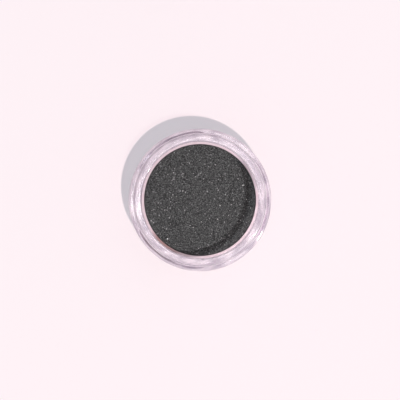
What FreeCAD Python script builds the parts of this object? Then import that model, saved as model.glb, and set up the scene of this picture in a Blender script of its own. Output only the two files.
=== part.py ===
"""A single eyeshadow pot: a clear jar, pressed shadow in a tin pan, and a quarter-turn lid laid behind it.

Millimetres, +Z up. The origin is the middle of the jar's foot, on the table.
The lid and its liner are drawn as they sit on the jar, then turned over onto the table behind it.
"""
import FreeCAD, Part

import math
import os

from FreeCAD import Vector

# Pan and powder
pan_diameter = 26.0       # a standard round shadow pan, which sets the scale of the pot
pan_depth = 3.4
pan_wall = 0.5
pan_corner = 0.8          # outer rounding of the pan's bottom edge
cake_drop = 0.15          # the powder's top below the pan's rim
cake_edge = 0.25          # rounding where the pressed powder meets the pan
glue_thickness = 0.2
glue_margin = 2.5         # the glue disc stops this far inside the pan's edge

# Jar
pan_fit = 0.1             # gap all round between the pan and the well
rim_rise = 2.6            # jar's rim above the pan's rim
base_thickness = 6.7      # solid plastic between the well and the foot recess
neck_wall = 1.7
neck_height = 5.0
neck_root = 0.3           # fillet where the neck stands on the shoulder
rim_inner_edge = 0.2
rim_outer_edge = 0.8
shoulder_edge = 0.6
foot_edge = 0.6
foot_width = 3.5          # the ring that the jar stands on
foot_recess = 0.6
recess_edge = 0.2
well_corner = 0.3
label_margin = 0.6
label_thickness = 0.1

# Quarter-turn thread: three runs on the neck, three lugs in the lid
thread_starts = 3
thread_lead = 6.0         # rise of a run in one whole turn
thread_gap = 40.0         # degrees between two runs, where a lug drops in
thread_phase = 60.0       # direction of the first gap, in degrees from +X
thread_width = 1.1        # along the axis, where a run meets the neck
thread_depth = 0.6
thread_fade = 12.0        # degrees over which a run rises out of the neck
flank_angle = 30.0        # slope of the runs' and lugs' sides
ridge_sink = 0.4          # how deep a run or lug is rooted in its wall
thread_clearance = 0.1    # between lug and run with the lid screwed down
lug_span = 22.0           # degrees
lug_width = 1.1
lug_fade = 5.0
lug_rise = 0.3            # from the skirt's edge to the lug
lug_fit = 0.3             # between lug and neck
lid_turn = 65.0           # degrees from the gap to screwed down

# Lid and liner
lid_fit = 0.2             # between the runs and the skirt
lid_wall = 0.8
lid_overhang = 0.4        # the lid stands this far out past the jar
lid_top = 1.2
lid_gap = 0.3             # between skirt and shoulder with the lid on
lid_top_edge = 0.8
skirt_edge = 0.25
lid_corner = 0.4          # fillet inside, between skirt and top
liner_thickness = 1.0
liner_fit = 0.25          # between liner and skirt
liner_edge = 0.15
seal_gap = 0.05           # free play on each face of the liner
lid_distance = 64.0       # from the jar's axis to the lid's, with the lid laid on the table

# Radii, from the pan outwards
pan_radius = pan_diameter / 2
cake_radius = pan_radius - pan_wall
well_radius = pan_radius + pan_fit
neck_radius = well_radius + neck_wall
skirt_radius = neck_radius + thread_depth + lid_fit
lid_radius = skirt_radius + lid_wall
jar_radius = lid_radius - lid_overhang
recess_radius = jar_radius - foot_width
liner_radius = skirt_radius - liner_fit

# Heights, from the table up, with the lid on
well_floor = foot_recess + base_thickness
pan_bottom = well_floor + glue_thickness
pan_rim = pan_bottom + pan_depth
rim = pan_rim + rim_rise
shoulder = rim - neck_height
skirt_bottom = shoulder + lid_gap
liner_bottom = rim + seal_gap
liner_top = liner_bottom + liner_thickness
ceiling = liner_top + seal_gap
closed_top = ceiling + lid_top

# The lugs' middle height, and the runs' middle height above a lug's leading end when screwed down
flank_slope = math.tan(math.radians(flank_angle))
lug_middle = skirt_bottom + lug_rise + lug_width / 2
lock_middle = (lug_middle + (thread_width + lug_width) / 2
               - flank_slope * (skirt_radius - neck_radius) + thread_clearance)
lock_angle = -(lid_turn + lug_span / 2)
thread_pitch_angle = 360.0 / thread_starts

UP = Vector(0, 0, 1)
ORIGIN = Vector(0, 0, 0)


def rounded_wire(corners):
    """Closed outline in the XZ plane through (radius, height, rounding) corners, with arcs where rounded."""
    points = [Vector(r, 0, z) for r, z, _ in corners]
    bends = []
    for i, (_, _, rounding) in enumerate(corners):
        here = points[i]
        back = (points[i - 1] - here).normalize()
        onward = (points[(i + 1) % len(points)] - here).normalize()
        if not rounding:
            bends.append((here, None, here))
            continue
        half = back.getAngle(onward) / 2
        reach = rounding / math.tan(half)
        middle = here + (back + onward).normalize() * (rounding / math.sin(half) - rounding)
        bends.append((here + back * reach, middle, here + onward * reach))
    edges = []
    for i, (start, middle, end) in enumerate(bends):
        if middle:
            edges.append(Part.Arc(start, middle, end).toShape())
        following = bends[(i + 1) % len(bends)][0]
        edges.append(Part.LineSegment(end, following).toShape())
    return Part.Wire(edges)


def turned(corners):
    """Solid of revolution about Z."""
    return Part.Face(rounded_wire(corners)).revolve(ORIGIN, UP, 360)


def disc(radius, bottom, thickness, edge=0.0):
    top = bottom + thickness
    return turned([(0, bottom, 0), (radius, bottom, edge), (radius, top, edge), (0, top, 0)])


def smooth_step(share):
    return share * share * (3 - 2 * share)


def ridge_section(wall, outward, lift, width, middle, angle):
    """Four-sided section of a ridge at one angle; lift is how far its crest stands out of the wall."""
    root_half = width / 2 + ridge_sink * flank_slope
    crest_half = width / 2 - lift * flank_slope
    root = wall - outward * ridge_sink
    crest = wall + outward * lift
    corners = [(root, middle - root_half), (crest, middle - crest_half),
               (crest, middle + crest_half), (root, middle + root_half)]
    turn = math.radians(angle)
    points = [Vector(r * math.cos(turn), r * math.sin(turn), z) for r, z in corners]
    return Part.makePolygon(points + points[:1])


def ridge(wall, outward, depth, width, start, end, fade, middle_at):
    """A moulded run on a round wall from angle start to end, fading into the wall at both ends.

    outward is 1 on an outside wall and -1 on an inside one. middle_at gives its height at an angle.
    """
    hidden = ridge_sink / 2
    steps = 2 * math.ceil((end - start) / fade)
    sections = []
    for i in range(steps + 1):
        angle = start + (end - start) * i / steps
        rise = smooth_step(min(1.0, (angle - start) / fade, (end - angle) / fade))
        lift = (depth + hidden) * rise - hidden
        sections.append(ridge_section(wall, outward, lift, width, middle_at(angle), angle))
    return Part.makeLoft(sections, True, False)


def around_gaps(shape):
    """One copy of a shape for each thread gap, from one drawn with its gap at +X."""
    copies = []
    for i in range(thread_starts):
        copy = shape.copy()
        copy.rotate(ORIGIN, UP, thread_phase + i * thread_pitch_angle)
        copies.append(copy)
    return copies


def thread_middle(angle):
    """Height of a run's middle line; it falls clockwise, so turning the lid clockwise draws it down."""
    return lock_middle + (angle - lock_angle) * thread_lead / 360.0


def make_jar():
    rim_wall = neck_wall / 2
    body = turned([
        (0, foot_recess, 0),
        (recess_radius, foot_recess, recess_edge),
        (recess_radius, 0, recess_edge),
        (jar_radius, 0, foot_edge),
        (jar_radius, shoulder, shoulder_edge),
        (neck_radius, shoulder, neck_root),
        (neck_radius, rim, min(rim_outer_edge, rim_wall)),
        (well_radius, rim, min(rim_inner_edge, rim_wall)),
        (well_radius, well_floor, well_corner),
        (0, well_floor, 0),
    ])
    run = ridge(neck_radius, 1, thread_depth, thread_width,
                thread_gap / 2 - thread_pitch_angle, -thread_gap / 2, thread_fade, thread_middle)
    return body.fuse(around_gaps(run)).Solids[0]


def make_pan():
    inner_corner = pan_corner - pan_wall
    return turned([
        (0, pan_bottom, 0),
        (pan_radius, pan_bottom, pan_corner),
        (pan_radius, pan_rim, 0),
        (cake_radius, pan_rim, 0),
        (cake_radius, pan_bottom + pan_wall, inner_corner),
        (0, pan_bottom + pan_wall, 0),
    ])


def make_cake():
    bottom = pan_bottom + pan_wall
    top = pan_rim - cake_drop
    return turned([
        (0, bottom, 0),
        (cake_radius, bottom, pan_corner - pan_wall),
        (cake_radius, top, cake_edge),
        (0, top, 0),
    ])


def make_lid():
    shell = turned([
        (0, ceiling, 0),
        (skirt_radius, ceiling, lid_corner),
        (skirt_radius, skirt_bottom, min(skirt_edge, lid_wall / 3)),
        (lid_radius, skirt_bottom, min(skirt_edge, lid_wall / 3)),
        (lid_radius, closed_top, lid_top_edge),
        (0, closed_top, 0),
    ])
    lug_depth = skirt_radius - neck_radius - lug_fit
    lug = ridge(skirt_radius, -1, lug_depth, lug_width,
                -lug_span / 2, lug_span / 2, lug_fade, lambda angle: lug_middle)
    return shell.fuse(around_gaps(lug)).Solids[0]


def laid_on_table(shape):
    """Turn a piece drawn on the jar over the back, half a turn, so that the lid's top lies on the table."""
    shape.rotate(Vector(0, lid_distance / 2, closed_top / 2), Vector(1, 0, 0), 180)
    return shape


def make_pieces():
    return {
        "jar": make_jar(),
        "tin_pan": make_pan(),
        "glue_pad": disc(pan_radius - glue_margin, well_floor, glue_thickness),
        "shadow_cake": make_cake(),
        "base_label": disc(recess_radius - label_margin, foot_recess - label_thickness, label_thickness),
        "lid": laid_on_table(make_lid()),
        "lid_liner": laid_on_table(disc(liner_radius, liner_bottom, liner_thickness, liner_edge)),
    }


os.makedirs("parts", exist_ok=True)
for name, piece in make_pieces().items():
    piece.exportStep(f"parts/{name}.step")
    print(f"{name}: valid {piece.isValid()}, volume {piece.Volume:.2f}")
print(f"closed height {closed_top:.2f}, jar height {rim:.2f}, diameter {2 * jar_radius:.2f}")
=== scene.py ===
"""Looks for a single eyeshadow pot: clear jar, charcoal shimmer powder in a tin pan, white lid with a liner.

Metres, +Z up, in the CAD frame. The camera looks straight down at the open pot.
"""
import math
import random

import bmesh
import bpy
from mathutils import Matrix, Vector, noise


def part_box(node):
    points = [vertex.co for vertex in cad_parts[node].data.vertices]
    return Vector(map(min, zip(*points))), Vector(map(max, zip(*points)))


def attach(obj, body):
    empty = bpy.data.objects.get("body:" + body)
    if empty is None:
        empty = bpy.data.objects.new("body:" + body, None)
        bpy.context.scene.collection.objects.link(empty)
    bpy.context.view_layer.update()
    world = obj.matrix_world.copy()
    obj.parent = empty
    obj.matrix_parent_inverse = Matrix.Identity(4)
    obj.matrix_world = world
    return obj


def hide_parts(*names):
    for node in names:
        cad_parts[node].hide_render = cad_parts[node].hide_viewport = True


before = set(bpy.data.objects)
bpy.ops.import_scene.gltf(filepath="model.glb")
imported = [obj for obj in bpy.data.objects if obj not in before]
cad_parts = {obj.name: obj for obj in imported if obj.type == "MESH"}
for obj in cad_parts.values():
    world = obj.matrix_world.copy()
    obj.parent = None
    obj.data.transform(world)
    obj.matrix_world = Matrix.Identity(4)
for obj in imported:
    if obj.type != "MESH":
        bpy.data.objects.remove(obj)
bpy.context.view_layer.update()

MM = 0.001

# Camera: the jar is 32 mm across and 142.2 of the photo's 400 pixels wide
PHOTO_PIXELS = 400
JAR_PIXELS = 142.2
CAMERA_HEIGHT = 500 * MM  # above the middle of the jar's height
CAMERA_NEAR = 10 * MM

# Light through the clear plastic: the colour that each of its faces lets through
WALL_PASSES = (0.98, 0.97, 0.975)
SIDE_PASSES = (0.305, 0.405, 0.44)
LIP_PASSES = (0.0, 0.0, 0.0)
SIDE_STOP = 0.6  # place of the outer side between the walls at 0 and the lip at 1

# Where those faces are, each from where it begins to count to where it counts in full
LIP_DEPTH = (0.9 * MM, 0.72 * MM)        # below the jar's top
LIP_LEVEL = (0.7, 0.9)                   # upright part of the normal, 1 on a level face
EDGE_LEVEL = (0.1, 0.4)                  # the same on the lip's rounded outer edge
OUTER_SIDE_DEPTH = (0.5 * MM, 0.3 * MM)  # inside the jar's outer radius
LIP_SHADOW_REACH = (7 * MM, 9 * MM)      # distance from the lip over which its shade fades out

# Sides of the pot: a direction from +X, how far to either hand each is full, and where it ends, in degrees
EDGE_SHADE_SIDE = (12, 22, 34)  # the lip's rounded outer edge shades the powder here too
EDGE_SHADE = 0.75
CLEAR_LIP_SIDE = (60, 24, 36)   # the lip casts no shade here
DARK_RIM_SIDE = (-130, 8, 24)     # the pan's rim goes darker brown here

# Flow lines in the plastic: how many to a radian, how far apart, and radians turned for each metre outward
FLOW_STREAKS = 5
FLOW_WIDTH = 0.8 * MM
FLOW_SLANT = 120

# Lamps: direction from +X and elevation in degrees, power in watts
KEY_LAMP = dict(direction=-31, elevation=36.5, distance=600 * MM,
                width=60 * MM, depth=60 * MM, power=3.4)
HIGH_LAMP = dict(direction=-57.6, elevation=65.1, distance=6000 * MM,
                 width=150 * MM, depth=150 * MM, power=226.0)

# Panels mirrored in the jar's top: direction and span along the rim in degrees, tilt of the face that
# mirrors them (0 on the level rim, more on its rounded edge), and brightness
RIM_GLINTS = (
    (187, 24, 0, 12.0),
    (187, 26, 12, 6.0),
    (52, 44, 0, 4.0),
    (50, 20, 12, 4.0),
    (-52, 26, 0, 3.0),
    (-52, 26, 12, 3.5),
    (97, 12, 0, 5.0),
    (141, 5, 0, 7.0),
)
RIM_BEYOND_PAN = 0.65 * MM  # from the pan's edge to the middle of the level rim
PANEL_HEIGHT = 600 * MM
PANEL_DEPTH = 1.6           # as a share of its distance from the axis

# Floor
FLOOR_COLOUR = (0.985, 0.885, 0.918, 1)
FLOOR_DROP = 0.02 * MM
FLOOR_SIZE = 3000 * MM

# Colour of the lid for the light that it throws back on the floor
LID_BOUNCE = (0.45, 0.44, 0.44)

# Light from all round
WORLD_COLOUR = (1.0, 0.985, 0.99, 1)
WORLD_STRENGTH = 0.44

# Label and glue; ragged is the most that an edge draws in, as a share of the radius
THIN_GAP = 0.01 * MM
THIN_STEPS = 96
GLUE_RAGGED = 0.12
LABEL_RAGGED = 0.004

# Powder surface
CAKE_CELLS = 220
CAKE_EDGE = 0.25 * MM
GRAIN_SIZE = 0.26 * MM
GRAIN_HEIGHT = 0.021 * MM
FINE_SIZE = 0.13 * MM
FINE_HEIGHT = 0.012 * MM
SWELL_SIZE = 3.5 * MM
SWELL_HEIGHT = 0.03 * MM

# Flakes on the powder; lift, thickness and top are shares of a flake's radius
FLAKE_COUNT = 3000
FLAKE_RADIUS = (0.027 * MM, 0.12 * MM)
FLAKE_RARITY = 20  # the higher, the fewer large flakes
FLAKE_SIDES = 6
FLAKE_TILT = 20    # spread in degrees
FLAKE_LIFT = 0.35
FLAKE_THICKNESS = 0.2
FLAKE_TOP = 0.85
SEED = 7


class Shader:
    """A material's node tree with short calls for adding and linking nodes."""

    def __init__(self, name):
        self.material = bpy.data.materials.new(name)
        self.material.use_nodes = True
        self.tree = self.material.node_tree
        self.surface = self.tree.nodes["Principled BSDF"]
        self.output = self.tree.nodes["Material Output"]
        self.place = self.add("ShaderNodeTexCoord").outputs["Object"]

    def add(self, kind, **values):
        """A new node; values are its properties, or its inputs where it has no such property."""
        node = self.tree.nodes.new(kind)
        for key, value in values.items():
            if hasattr(node, key):
                setattr(node, key, value)
            else:
                node.inputs[key.replace("_", " ")].default_value = value
        return node

    def link(self, source, target):
        self.tree.links.new(source, target)

    def set(self, **values):
        """Constant values on the surface shader's own sockets."""
        for key, value in values.items():
            self.surface.inputs[key.replace("_", " ")].default_value = value

    def noise(self, size, detail=2.0, roughness=0.5, at=None):
        """Fractal noise whose features are about `size` across, in metres or in the units of `at`."""
        node = self.add("ShaderNodeTexNoise", Scale=1 / size, Detail=detail, Roughness=roughness)
        self.link(at or self.place, node.inputs["Vector"])
        return node.outputs["Fac"]

    def combine(self, operation, first, second):
        node = self.add("ShaderNodeMath", operation=operation)
        self.link(first, node.inputs[0])
        self.link(second, node.inputs[1])
        return node.outputs[0]

    def upright(self, vector):
        """The part of a vector along the axis."""
        node = self.add("ShaderNodeSeparateXYZ")
        self.link(vector, node.inputs[0])
        return node.outputs["Z"]

    def outward(self):
        """The level vector from the axis to the point that is shaded."""
        node = self.add("ShaderNodeVectorMath", operation="MULTIPLY")
        self.link(self.place, node.inputs[0])
        node.inputs[1].default_value = (1, 1, 0)
        return node.outputs["Vector"]

    def axis_distance(self):
        node = self.add("ShaderNodeVectorMath", operation="LENGTH")
        self.link(self.outward(), node.inputs[0])
        return node.outputs["Value"]

    def round_the_axis(self, streaks, width, slant):
        """Coordinates for lines that wind round the axis.

        There are `streaks` to a radian, `width` metres apart, turned by `slant` radians for each metre
        outward.
        """
        distance = self.axis_distance()
        wound = self.add("ShaderNodeVectorRotate", rotation_type="Z_AXIS")
        self.link(self.outward(), wound.inputs["Vector"])
        self.link(self.spread(distance, 0, slant), wound.inputs["Angle"])
        direction = self.add("ShaderNodeVectorMath", operation="NORMALIZE")
        self.link(wound.outputs["Vector"], direction.inputs[0])
        along = self.add("ShaderNodeVectorMath", operation="SCALE", Scale=streaks)
        self.link(direction.outputs["Vector"], along.inputs[0])
        across = self.add("ShaderNodeCombineXYZ")
        self.link(self.spread(distance, 0, 1 / width), across.inputs["Z"])
        total = self.add("ShaderNodeVectorMath", operation="ADD")
        self.link(along.outputs["Vector"], total.inputs[0])
        self.link(across.outputs["Vector"], total.inputs[1])
        return total.outputs["Vector"]

    def toward(self, direction, full, end, low=0, high=1):
        """`high` on one side of the axis, fading to `low` away from it; the angles are in degrees."""
        turn = math.radians(direction)
        outward = self.add("ShaderNodeVectorMath", operation="NORMALIZE")
        self.link(self.outward(), outward.inputs[0])
        along = self.add("ShaderNodeVectorMath", operation="DOT_PRODUCT")
        self.link(outward.outputs["Vector"], along.inputs[0])
        along.inputs[1].default_value = (math.cos(turn), math.sin(turn), 0)
        start, stop = math.cos(math.radians(end)), math.cos(math.radians(full))
        return self.spread(along.outputs["Value"], low, high, start, stop)

    def ramp(self, source, *stops):
        """Colour ramp through (position, colour) stops."""
        node = self.add("ShaderNodeValToRGB")
        elements = node.color_ramp.elements
        while len(elements) < len(stops):
            elements.new(0.5)
        for element, (position, colour) in zip(elements, stops):
            element.position = position
            element.color = (*colour, 1)
        self.link(source, node.inputs["Fac"])
        return node.outputs["Color"]

    def spread(self, source, low, high, start=0.0, end=1.0):
        """Map a value that runs from start to end to the span low to high."""
        node = self.add("ShaderNodeMapRange")
        for key, value in (("From Min", start), ("From Max", end), ("To Min", low), ("To Max", high)):
            node.inputs[key].default_value = value
        self.link(source, node.inputs["Value"])
        return node.outputs["Result"]

    def bump(self, source, distance, strength):
        node = self.add("ShaderNodeBump", Strength=strength, Distance=distance)
        self.link(source, node.inputs["Height"])
        return node.outputs["Normal"]

    def feed(self, source, socket):
        self.link(source, self.surface.inputs[socket])


def clear_plastic():
    """Clear moulded plastic with a faint lavender cast and flow lines round the axis.

    Lamps shine through its walls. Its lip and its outer side bend their light away, so both cast shadows.
    """
    s = Shader("clear_plastic")
    flow = s.noise(1.0, 1.5, at=s.round_the_axis(FLOW_STREAKS, FLOW_WIDTH, FLOW_SLANT))
    s.feed(s.ramp(flow, (0.35, (0.5, 0.465, 0.54)), (0.65, (0.86, 0.83, 0.88))), "Base Color")
    s.feed(s.spread(s.noise(1.2 * MM, 3), 0.06, 0.1, 0.4, 0.7), "Roughness")
    s.feed(s.bump(flow, 0.02 * MM, 0.05), "Normal")
    s.set(Transmission_Weight=0.93, IOR=1.49)

    path = s.add("ShaderNodeLightPath")
    through = s.add("ShaderNodeBsdfTransparent")
    s.link(light_passed(s, path), through.inputs["Color"])
    unseen = s.combine("MAXIMUM", path.outputs["Is Shadow Ray"], path.outputs["Is Diffuse Ray"])
    mix = s.add("ShaderNodeMixShader")
    s.link(unseen, mix.inputs["Fac"])
    s.link(s.surface.outputs[0], mix.inputs[1])
    s.link(through.outputs[0], mix.inputs[2])
    s.link(mix.outputs[0], s.output.inputs["Surface"])
    return s.material


def light_passed(s, path):
    """Share of a lamp's light that a face of the jar lets through.

    The level lip bends it away from what lies close below, and the outer side from the table.
    """
    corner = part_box("jar")[1]
    lip_start, lip_full = (corner.z - depth for depth in LIP_DEPTH)
    side_start, side_full = (corner.x - depth for depth in OUTER_SIDE_DEPTH)
    geometry = s.add("ShaderNodeNewGeometry")
    level = s.add("ShaderNodeMath", operation="ABSOLUTE")
    s.link(s.upright(geometry.outputs["Normal"]), level.inputs[0])
    near_top = s.spread(s.upright(s.place), 0, 1, lip_start, lip_full)
    edge = s.spread(level.outputs[0], 0, EDGE_SHADE, *EDGE_LEVEL)
    edge = s.combine("MULTIPLY", edge, s.toward(*EDGE_SHADE_SIDE))
    lip = s.combine("MAXIMUM", s.spread(level.outputs[0], 0, 1, *LIP_LEVEL), edge)
    lip = s.combine("MULTIPLY", lip, s.toward(*CLEAR_LIP_SIDE, 1, 0))
    lip = s.combine("MULTIPLY", lip, near_top)
    close = s.spread(path.outputs["Ray Length"], 1, 0, *LIP_SHADOW_REACH)
    lip = s.combine("MULTIPLY", lip, close)
    outer = s.spread(s.axis_distance(), 0, SIDE_STOP, side_start, side_full)
    entered = s.spread(geometry.outputs["Backfacing"], 1, 0)
    outer = s.combine("MULTIPLY", outer, entered)
    blocked = s.combine("MAXIMUM", lip, outer)
    blocked = s.combine("MULTIPLY", blocked, path.outputs["Is Shadow Ray"])
    return s.ramp(blocked, (0.0, WALL_PASSES), (SIDE_STOP, SIDE_PASSES), (1.0, LIP_PASSES))


def shadow_powder():
    """Pressed charcoal powder: fine grey grain with a dull sheen."""
    s = Shader("shadow_powder")
    grain = s.noise(0.17 * MM, 2, 0.6)
    colour = s.ramp(grain, (0.4, (0.004, 0.004, 0.004)), (0.5, (0.019, 0.019, 0.02)),
                    (0.61, (0.145, 0.145, 0.145)))
    s.feed(colour, "Base Color")
    s.feed(s.spread(s.noise(0.3 * MM, 1), 0.55, 0.85), "Roughness")
    s.feed(s.bump(s.noise(0.12 * MM, 2), 0.03 * MM, 0.5), "Normal")
    s.set(Specular_IOR_Level=0.3)
    return s.material


def shimmer():
    """Silver mica flakes in the powder."""
    s = Shader("shimmer")
    s.feed(s.ramp(s.noise(0.6 * MM, 0), (0.3, (0.56, 0.56, 0.58)), (0.7, (0.8, 0.78, 0.77))), "Base Color")
    s.set(Metallic=1.0, Roughness=0.35)
    return s.material


def bright_tin():
    """Tinplate with a pale rosy finish and fine mottling, darker brown towards one side of the rim."""
    s = Shader("bright_tin")
    # The mottling fades to darker brown towards one side of the pot; this is a given darkening, placed by
    # direction.
    mottle_and_dark_side = s.combine("MULTIPLY", s.noise(1.5 * MM, 3), s.toward(*DARK_RIM_SIDE, 1, 0.1))
    colour = s.ramp(mottle_and_dark_side, (0.0, (0.3, 0.16, 0.15)), (0.3, (0.73, 0.56, 0.61)), (0.7, (0.8, 0.65, 0.705)))
    s.feed(colour, "Base Color")
    s.feed(s.spread(s.noise(0.4 * MM, 2), 0.4, 0.6), "Roughness")
    s.feed(s.bump(s.noise(0.3 * MM, 2), 0.005 * MM, 0.4), "Normal")
    s.set(Metallic=0.2)
    return s.material


def white_plastic():
    """Polished white lid plastic with faint moulding ripple and handling smudges.

    It is darker for diffuse rays, so that it throws little light on the floor beside it.
    """
    s = Shader("white_plastic")
    seen = s.spread(s.add("ShaderNodeLightPath").outputs["Is Diffuse Ray"], 1, 0)
    tone = s.combine("MULTIPLY", s.noise(6 * MM, 2), seen)
    colour = s.ramp(tone, (0.0, LID_BOUNCE), (0.3, (0.84, 0.82, 0.82)), (0.7, (0.88, 0.86, 0.86)))
    s.feed(colour, "Base Color")
    s.feed(s.spread(s.noise(2 * MM, 3), 0.16, 0.3, 0.35, 0.7), "Roughness")
    s.feed(s.bump(s.noise(4 * MM, 1), 0.01 * MM, 0.5), "Normal")
    s.set(Subsurface_Weight=0.1, Subsurface_Scale=0.5 * MM)
    return s.material


def liner_foam():
    """Closed-cell foam sheet: matt white with tiny cells."""
    s = Shader("liner_foam")
    cells = s.add("ShaderNodeTexVoronoi", Scale=1 / (0.35 * MM))
    s.link(s.place, cells.inputs["Vector"])
    s.feed(s.ramp(s.noise(2 * MM, 3), (0.3, (0.8, 0.79, 0.78)), (0.7, (0.87, 0.865, 0.855))), "Base Color")
    s.feed(s.bump(cells.outputs["Distance"], 0.06 * MM, 0.6), "Normal")
    s.feed(s.spread(s.noise(0.5 * MM, 2), 0.6, 0.8), "Roughness")
    return s.material


def label_paper():
    """Blank coated label paper."""
    s = Shader("label_paper")
    s.feed(s.ramp(s.noise(0.5 * MM, 4), (0.3, (0.82, 0.81, 0.8)), (0.7, (0.87, 0.86, 0.85))), "Base Color")
    s.feed(s.bump(s.noise(0.12 * MM, 3), 0.01 * MM, 0.5), "Normal")
    s.set(Roughness=0.6)
    return s.material


def dried_glue():
    s = Shader("dried_glue")
    s.feed(s.ramp(s.noise(1.5 * MM, 2), (0.3, (0.66, 0.6, 0.5)), (0.7, (0.78, 0.73, 0.64))), "Base Color")
    s.feed(s.bump(s.noise(1 * MM, 2), 0.05 * MM, 0.5), "Normal")
    s.set(Roughness=0.45)
    return s.material


def floor_paper():
    s = Shader("floor_paper")
    s.set(Base_Color=FLOOR_COLOUR, Roughness=1.0, Specular_IOR_Level=0.0)
    return s.material


def dress(node, material):
    """Give a CAD node its finish."""
    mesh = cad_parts[node].data
    mesh.materials.clear()
    mesh.materials.append(material)


def new_piece(name, mesh_maker, material, body, smooth=True):
    """A mesh object built by mesh_maker(bmesh), finished and riding on a body."""
    mesh = bpy.data.meshes.new(name)
    bm = bmesh.new()
    mesh_maker(bm)
    bm.normal_update()
    bm.to_mesh(mesh)
    bm.free()
    for polygon in mesh.polygons:
        polygon.use_smooth = smooth
    mesh.materials.append(material)
    piece = bpy.data.objects.new(name, mesh)
    bpy.context.scene.collection.objects.link(piece)
    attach(piece, body)
    return piece


def round_from_square(u, v):
    """Concentric map from the square -1..1 to the unit disc, which keeps cells nearly even."""
    if u == 0 and v == 0:
        return 0.0, 0.0
    if abs(u) > abs(v):
        radius, angle = u, math.pi / 4 * v / u
    else:
        radius, angle = v, math.pi / 2 - math.pi / 4 * u / v
    return radius * math.cos(angle), radius * math.sin(angle)


def powder_height(x, y, radius):
    """Height of the powder over its flat top: grains, a slow swell, and the edge rounded down to the pan."""
    grain = GRAIN_HEIGHT * noise.noise(Vector((x, y, 0)) / GRAIN_SIZE)
    fine = FINE_HEIGHT * noise.noise(Vector((x, y, MM)) / FINE_SIZE)
    swell = SWELL_HEIGHT * noise.noise(Vector((x, y, 2 * MM)) / SWELL_SIZE)
    inside = max(0.0, radius - math.hypot(x, y))
    fall = max(0.0, 1 - inside / CAKE_EDGE)
    rounding = CAKE_EDGE * (1 - math.sqrt(max(0.0, 1 - fall * fall)))
    return grain + fine + swell - rounding


def powder_cake():
    """The pressed powder as a fine grained disc in the pan; gives its radius and the height of its top."""
    low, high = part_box("shadow_cake")
    radius = (high.x - low.x) / 2

    def build(bm):
        steps = CAKE_CELLS
        rows = []
        for j in range(steps + 1):
            row = []
            for i in range(steps + 1):
                x, y = round_from_square(2 * i / steps - 1, 2 * j / steps - 1)
                x, y = x * radius, y * radius
                row.append(bm.verts.new((x, y, high.z + powder_height(x, y, radius))))
            rows.append(row)
        for j in range(steps):
            for i in range(steps):
                bm.faces.new((rows[j][i], rows[j][i + 1], rows[j + 1][i + 1], rows[j + 1][i]))
        rim = [e for e in bm.edges if e.is_boundary]
        skirt = bmesh.ops.extrude_edge_only(bm, edges=rim)["geom"]
        lower = [v for v in skirt if isinstance(v, bmesh.types.BMVert)]
        for v in lower:
            v.co.z = low.z
        bmesh.ops.contextual_create(bm, geom=[e for e in bm.edges if e.is_boundary])
        bmesh.ops.recalc_face_normals(bm, faces=bm.faces)

    cake = new_piece("powder", build, shadow_powder(), "jar")
    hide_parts("shadow_cake")
    return radius, high.z


def thin_piece(name, node, material, ragged):
    """A thin round piece in a node's place, a hair clear of the faces that it lies against.

    `ragged` is the most that its edge draws in, as a share of its radius.
    """
    low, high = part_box(node)
    radius = (high.x - low.x) / 2
    bottom, top = low.z + THIN_GAP, high.z - THIN_GAP
    edge = (top - bottom) / 2
    profile = ((3 * edge, bottom), (edge, bottom), (0, bottom + edge), (edge, top), (3 * edge, top))

    def build(bm):
        rings = []
        for inset, height in profile:
            ring = []
            for i in range(THIN_STEPS):
                turn = 2 * math.pi * i / THIN_STEPS
                outward = Vector((math.cos(turn), math.sin(turn), 0))
                drawn_in = ragged * (0.5 + 0.5 * noise.noise(3 * outward))
                reach = radius * (1 - drawn_in) - inset
                ring.append(bm.verts.new(outward * reach + Vector((0, 0, height))))
            rings.append(ring)
        for lower, upper in zip(rings, rings[1:]):
            for i in range(THIN_STEPS):
                bm.faces.new((lower[i - 1], lower[i], upper[i], upper[i - 1]))
        bm.faces.new(rings[0][::-1])
        bm.faces.new(rings[-1])

    piece = new_piece(name, build, material, "jar")
    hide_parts(node)


def add_flake(bm, place, size):
    """One thin prism with its middle at the origin of `place`."""
    half = FLAKE_THICKNESS * size / 2
    rings = []
    for ring_radius, height in ((size, -half), (FLAKE_TOP * size, half)):
        ring = []
        for i in range(FLAKE_SIDES):
            turn = 2 * math.pi * i / FLAKE_SIDES
            corner = Vector((ring_radius * math.cos(turn), ring_radius * math.sin(turn), height))
            ring.append(bm.verts.new(place @ corner))
        rings.append(ring)
    lower, upper = rings
    bm.faces.new(lower[::-1])
    bm.faces.new(upper)
    for i in range(FLAKE_SIDES):
        bm.faces.new((lower[i - 1], lower[i], upper[i], upper[i - 1]))


def shimmer_flakes(radius, top):
    """Scattered mica flakes lying in the powder's surface, each at its own tilt."""
    rng = random.Random(SEED)
    smallest, largest = FLAKE_RADIUS

    def build(bm):
        for _ in range(FLAKE_COUNT):
            reach = (radius - CAKE_EDGE) * math.sqrt(rng.random())
            turn = rng.uniform(0, 2 * math.pi)
            x, y = reach * math.cos(turn), reach * math.sin(turn)
            size = smallest + (largest - smallest) * rng.random() ** FLAKE_RARITY
            tilt = Matrix.Rotation(math.radians(rng.gauss(0, FLAKE_TILT)), 4, "X")
            spin = Matrix.Rotation(rng.uniform(0, 2 * math.pi), 4, "Z")
            height = top + powder_height(x, y, radius) + FLAKE_LIFT * size
            add_flake(bm, Matrix.Translation((x, y, height)) @ spin @ tilt, size)

    new_piece("shimmer_flakes", build, shimmer(), "jar", smooth=False)


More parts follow.
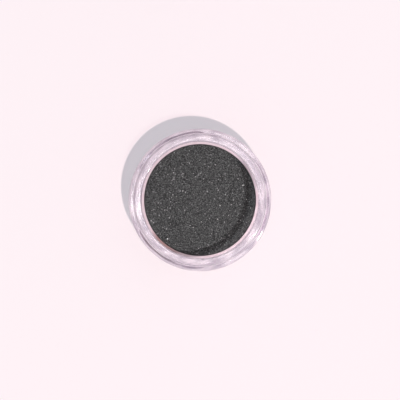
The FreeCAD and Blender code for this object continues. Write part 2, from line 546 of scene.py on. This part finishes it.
def lamp(name, direction, elevation, distance, width, depth, power):
    """A flat soft light aimed at the pot; direction is in degrees from +X, elevation above the table."""
    light = bpy.data.lights.new(name, "AREA")
    light.shape = "RECTANGLE"
    light.size = width
    light.size_y = depth
    light.energy = power
    lamp_object = bpy.data.objects.new(name, light)
    bpy.context.scene.collection.objects.link(lamp_object)
    turn, rise = math.radians(direction), math.radians(elevation)
    place = Vector((math.cos(turn) * math.cos(rise), math.sin(turn) * math.cos(rise), math.sin(rise)))
    lamp_object.location = place * distance
    lamp_object.rotation_euler = place.to_track_quat("Z", "Y").to_euler()
    return lamp_object


def camera_level():
    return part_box("jar")[1].z / 2 + CAMERA_HEIGHT


def rim_panels():
    """Small bright panels high over the pot, which the camera sees mirrored in the jar's top."""
    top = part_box("jar")[1].z
    rim_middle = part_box("tin_pan")[1].x + RIM_BEYOND_PAN
    rise = PANEL_HEIGHT - top
    drop = camera_level() - top
    panels = []
    for i, (direction, span, tilt, brightness) in enumerate(RIM_GLINTS):
        lean = math.atan(rim_middle / drop) + 2 * math.radians(tilt)
        reach = rim_middle + rise * math.tan(lean)
        width = reach * math.radians(span)
        depth = reach * PANEL_DEPTH
        power = math.pi * width * depth * brightness
        elevation = math.degrees(math.atan2(PANEL_HEIGHT, reach))
        distance = math.hypot(PANEL_HEIGHT, reach)
        panels.append(lamp(f"panel_{i}", direction, elevation, distance, width, depth, power))
    return panels


def link_light(lamp_object, role, objects, state):
    """Say which objects a lamp lights, or which cast its shadow."""
    group = bpy.data.collections.new(f"{lamp_object.name}_{role}")
    for o in objects:
        group.objects.link(o)
    for item in group.collection_objects:
        item.light_linking.link_state = state
    setattr(lamp_object.light_linking, role, group)


def make_floor():
    mesh = bpy.data.meshes.new("floor")
    half = FLOOR_SIZE / 2
    corners = [(-half, -half, -FLOOR_DROP), (half, -half, -FLOOR_DROP),
               (half, half, -FLOOR_DROP), (-half, half, -FLOOR_DROP)]
    mesh.from_pydata(corners, [], [(0, 1, 2, 3)])
    mesh.materials.append(floor_paper())
    floor = bpy.data.objects.new("floor", mesh)
    bpy.context.scene.collection.objects.link(floor)
    return floor


def make_world():
    """Soft light from all round. Seen directly, mirrored or through the plastic, it is the pale backdrop."""
    world = bpy.data.worlds.new("studio")
    bpy.context.scene.world = world
    world.use_nodes = True
    tree = world.node_tree
    light = tree.nodes["Background"]
    light.inputs["Color"].default_value = WORLD_COLOUR
    light.inputs["Strength"].default_value = WORLD_STRENGTH
    backdrop = tree.nodes.new("ShaderNodeBackground")
    backdrop.inputs["Color"].default_value = FLOOR_COLOUR
    path = tree.nodes.new("ShaderNodeLightPath")
    seen = path.outputs["Is Camera Ray"]
    for kind in ("Is Glossy Ray", "Is Transmission Ray"):
        either = tree.nodes.new("ShaderNodeMath")
        either.operation = "MAXIMUM"
        tree.links.new(seen, either.inputs[0])
        tree.links.new(path.outputs[kind], either.inputs[1])
        seen = either.outputs[0]
    mix = tree.nodes.new("ShaderNodeMixShader")
    tree.links.new(seen, mix.inputs["Fac"])
    tree.links.new(light.outputs[0], mix.inputs[1])
    tree.links.new(backdrop.outputs[0], mix.inputs[2])
    tree.links.new(mix.outputs[0], tree.nodes["World Output"].inputs["Surface"])


def make_camera():
    low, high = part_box("jar")
    across = high.x - low.x
    view_width = across * PHOTO_PIXELS / JAR_PIXELS
    camera_data = bpy.data.cameras.new("camera")
    camera_data.angle = 2 * math.atan(view_width / 2 / CAMERA_HEIGHT)
    camera_data.clip_start = CAMERA_NEAR
    camera = bpy.data.objects.new("camera", camera_data)
    camera.location = (0, 0, camera_level())
    bpy.context.scene.collection.objects.link(camera)
    bpy.context.scene.camera = camera


dress("jar", clear_plastic())
dress("tin_pan", bright_tin())
thin_piece("glue_spot", "glue_pad", dried_glue(), GLUE_RAGGED)
thin_piece("blank_label", "base_label", label_paper(), LABEL_RAGGED)
dress("lid", white_plastic())
dress("lid_liner", liner_foam())
shimmer_flakes(*powder_cake())

floor = make_floor()
make_world()
key_lamp = lamp("key", **KEY_LAMP)
high_lamp = lamp("high", **HIGH_LAMP)
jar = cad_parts["jar"]
lid_pieces = [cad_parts["lid"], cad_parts["lid_liner"]]
link_light(key_lamp, "receiver_collection", [floor, *lid_pieces], "EXCLUDE")
link_light(high_lamp, "receiver_collection", [floor, *lid_pieces], "INCLUDE")
link_light(high_lamp, "blocker_collection", [jar, *lid_pieces], "INCLUDE")
for panel in rim_panels():
    link_light(panel, "receiver_collection", [jar], "INCLUDE")
make_camera()
bpy.context.scene.view_settings.view_transform = "Standard"
